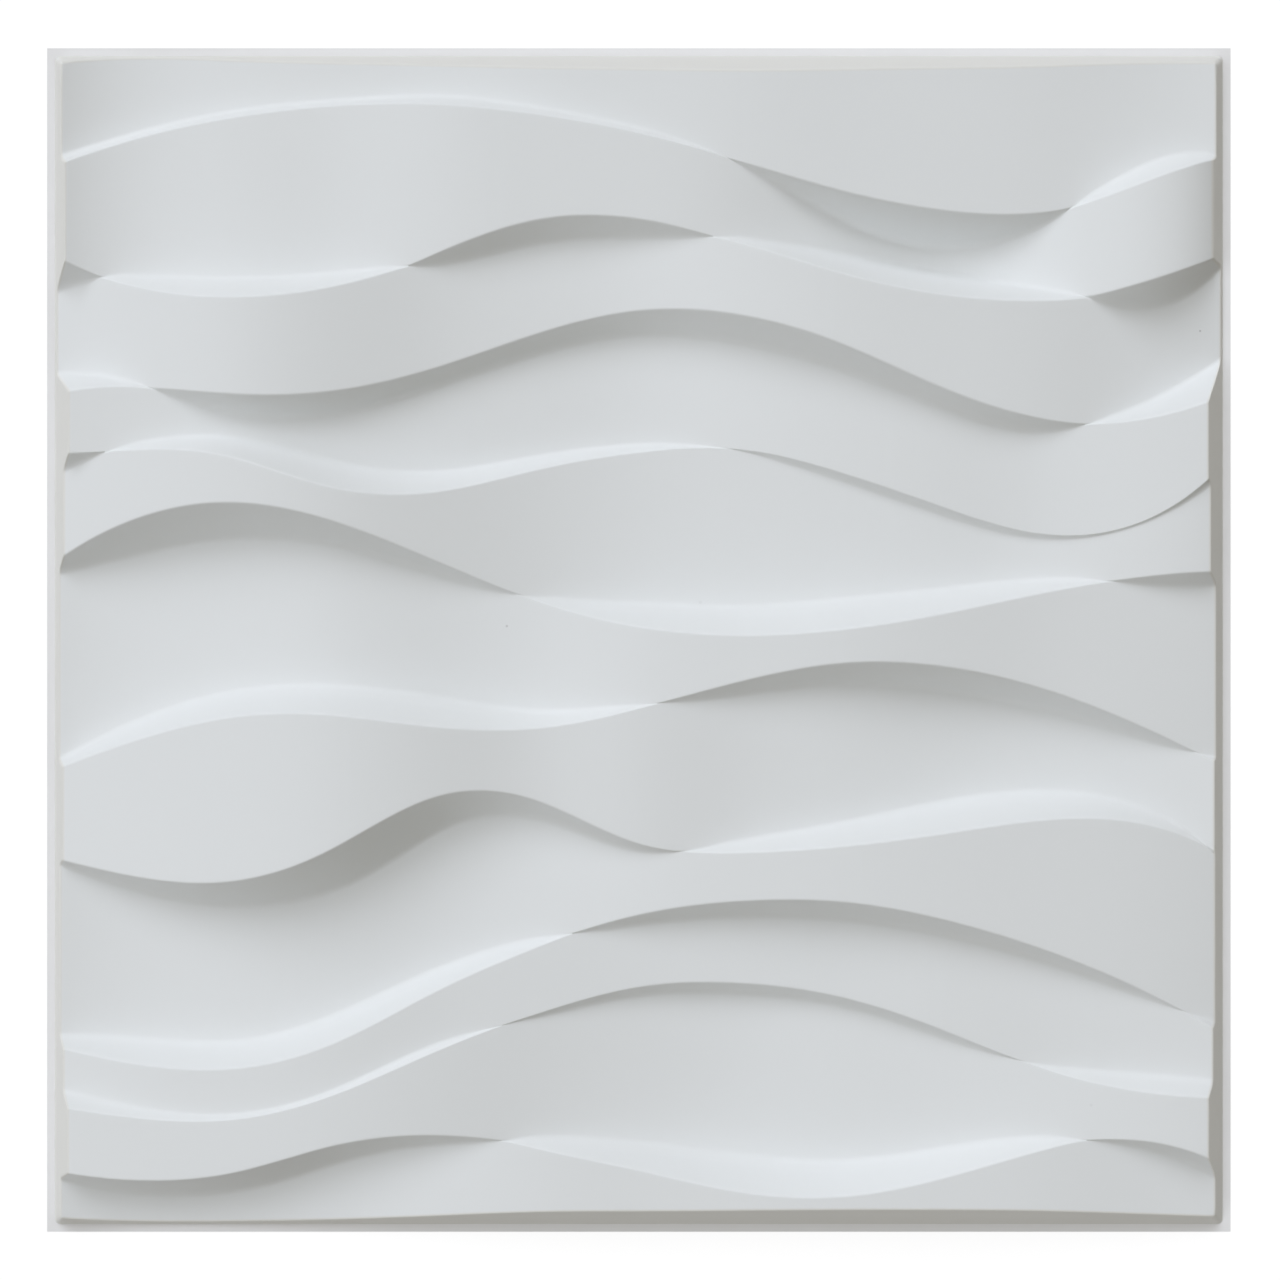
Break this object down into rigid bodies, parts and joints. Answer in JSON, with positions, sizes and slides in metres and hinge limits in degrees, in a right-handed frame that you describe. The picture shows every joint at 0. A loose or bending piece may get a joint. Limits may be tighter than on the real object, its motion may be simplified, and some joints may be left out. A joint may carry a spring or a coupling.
{
  "type": "3d wall panel tile",
  "caption": "Square wall tile, thin moulded sheet with wavy ribbon bands in relief, drafted walls between them, a tapered rim and a hollow back.",
  "frame": {"origin": "centre of the tile's outline, on the back plane that lies against the wall", "axes": "+X to the right and +Y up as the tile hangs in the picture, +Z out of the wall through the relief"},
  "size_m": [0.5, 0.5, 0.0347],
  "materials": {
    "white_pvc": "matte white, faint satin sheen"
  },
  "bodies": {
    "root": {"wave_panel": "white_pvc"}
  },
  "joints": []
}
